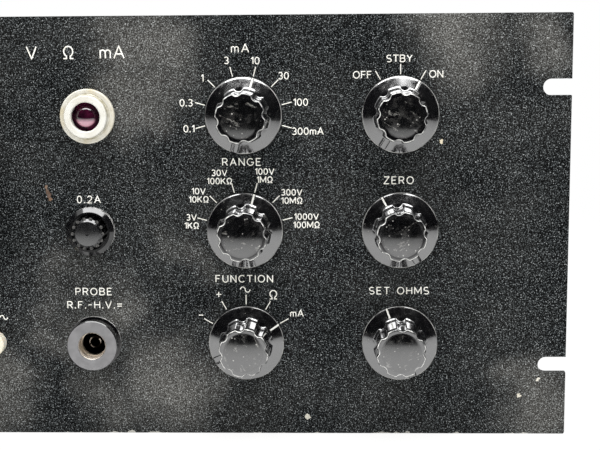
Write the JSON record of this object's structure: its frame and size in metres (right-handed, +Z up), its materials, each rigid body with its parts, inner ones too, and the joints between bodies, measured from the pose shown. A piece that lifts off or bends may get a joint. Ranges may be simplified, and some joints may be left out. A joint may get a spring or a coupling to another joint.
{
  "type": "rack-mounted electronic volt-ohm meter",
  "caption": "Rack-panel valve volt-ohm-milliammeter with skirted knobs, pilot lamp, fuse, probe socket, jacks, needle meter and a dust cover that draws off the chassis.",
  "frame": {"origin": "middle of the panel's bottom edge, half way through its thickness", "axes": "+X to the right along the panel as the user faces it, +Y into the instrument, +Z up"},
  "size_m": [0.4826, 0.2699, 0.2215],
  "materials": {
    "black_wrinkle": "fine wrinkle enamel, slightly dusty",
    "grey_enamel": "smooth satin stove enamel",
    "chassis_steel": "passivated, satin",
    "bare_aluminium": "satin",
    "bright_steel": "plated",
    "nickel_brass": "dull nickel over brass",
    "black_bakelite": "polished moulding",
    "ivory_moulding": "aged, satin gloss",
    "amethyst_glass": "polished dome",
    "clear_glass": "polished",
    "dial_white": "matt white enamel",
    "needle_black": "matt",
    "magnet_iron": "painted dark grey",
    "lamination_iron": "varnished laminations",
    "coil_wrap": "varnished paper and cloth over copper wire",
    "brown_phenolic": "laminated sheet",
    "socket_phenolic": "moulded",
    "anode_grey": "carbonised",
    "capacitor_can": "drawn can",
    "resistor_body": "lacquered",
    "grommet_rubber": "matt"
  },
  "bodies": {
    "chassis": {"front_panel": "black_wrinkle", "left_cheek": "chassis_steel", "right_cheek": "chassis_steel", "chassis_deck": "chassis_steel", "rear_plate": "grey_enamel", "chassis_screws": "bright_steel", "panel_nuts": "bright_steel", "mains_grommet": "grommet_rubber", "meter_cover": "black_bakelite", "meter_glass": "clear_glass", "meter_can": "black_bakelite", "meter_dial": "dial_white", "meter_magnet": "magnet_iron", "meter_bridges": "nickel_brass", "pilot_bezel": "ivory_moulding", "pilot_jewel": "amethyst_glass", "pilot_lamp_holder": "bright_steel", "pilot_lamp": "clear_glass", "fuse_base": "black_bakelite", "probe_socket": "black_bakelite", "probe_contacts": "nickel_brass", "transformer_core": "lamination_iron", "transformer_coil": "coil_wrap", "transformer_feet": "bright_steel", "valve_sockets": "socket_phenolic", "valve_bulbs": "clear_glass", "valve_electrodes": "anode_grey", "filter_capacitor": "capacitor_can", "resistor_board": "brown_phenolic", "resistors": "resistor_body", "input_jacks": "ivory_moulding", "common_jack": "black_bakelite", "jack_tubes": "nickel_brass", "current_range_switch": "brown_phenolic", "voltage_range_switch": "brown_phenolic", "function_switch": "brown_phenolic", "power_switch": "brown_phenolic", "zero_potentiometer": "bare_aluminium", "ohms_potentiometer": "bare_aluminium"},
    "current_range_control": {"current_range_knob": "black_bakelite", "current_range_shaft": "bright_steel"},
    "voltage_range_control": {"voltage_range_knob": "black_bakelite", "voltage_range_shaft": "bright_steel"},
    "function_control": {"function_knob": "black_bakelite", "function_shaft": "bright_steel"},
    "power_control": {"power_knob": "black_bakelite", "power_shaft": "bright_steel"},
    "zero_control": {"zero_knob": "black_bakelite", "zero_shaft": "bright_steel"},
    "ohms_control": {"ohms_knob": "black_bakelite", "ohms_shaft": "bright_steel"},
    "needle": {"meter_needle": "needle_black"},
    "zero_screw": {"meter_zero_screw": "black_bakelite"},
    "fuse_carrier": {"fuse_cartridge": "clear_glass"},
    "fuse_screw_cap": {"fuse_cap": "black_bakelite"},
    "cover": {"dust_cover": "grey_enamel", "bottom_plate": "grey_enamel", "cover_screws": "bright_steel"}
  },
  "joints": [
    {"name": "current_range_turn", "type": "hinge", "parent": "chassis", "child": "current_range_control", "pos_m": [0.0728, -0.002, 0.1702], "axis": [0, -1, 0], "range_deg": [-90, 120]},
    {"name": "voltage_range_turn", "type": "hinge", "parent": "chassis", "child": "voltage_range_control", "pos_m": [0.0728, -0.002, 0.11], "axis": [0, -1, 0], "range_deg": [-60, 90]},
    {"name": "function_turn", "type": "hinge", "parent": "chassis", "child": "function_control", "pos_m": [0.0728, -0.002, 0.0498], "axis": [0, -1, 0], "range_deg": [0, 120]},
    {"name": "power_turn", "type": "hinge", "parent": "chassis", "child": "power_control", "pos_m": [0.1538, -0.002, 0.1702], "axis": [0, -1, 0], "range_deg": [0, 60]},
    {"name": "zero_turn", "type": "hinge", "parent": "chassis", "child": "zero_control", "pos_m": [0.1538, -0.002, 0.11], "axis": [0, -1, 0], "range_deg": [-179, 121]},
    {"name": "ohms_turn", "type": "hinge", "parent": "chassis", "child": "ohms_control", "pos_m": [0.1538, -0.002, 0.0498], "axis": [0, -1, 0], "range_deg": [-171, 129]},
    {"name": "needle_swing", "type": "hinge", "parent": "chassis", "child": "needle", "pos_m": [-0.125, -0.002, 0.121], "axis": [0, -1, 0], "range_deg": [-90, 0], "stiffness_Nm_per_rad": 0.00004},
    {"name": "zero_screw_turn", "type": "hinge", "parent": "chassis", "child": "zero_screw", "pos_m": [-0.125, -0.002, 0.103], "axis": [0, -1, 0], "range_deg": [-45, 45]},
    {"name": "fuse_pull", "type": "slide", "parent": "chassis", "child": "fuse_carrier", "axis": [0, -1, 0], "range_m": [0, 0.05]},
    {"name": "fuse_cap_turn", "type": "hinge", "parent": "fuse_carrier", "child": "fuse_screw_cap", "pos_m": [-0.0082, -0.002, 0.11], "axis": [0, -1, 0], "range_deg": [0, 360]},
    {"name": "cover_slide", "type": "slide", "parent": "chassis", "child": "cover", "axis": [0, 1, 0], "range_m": [0, 0.245]}
  ]
}
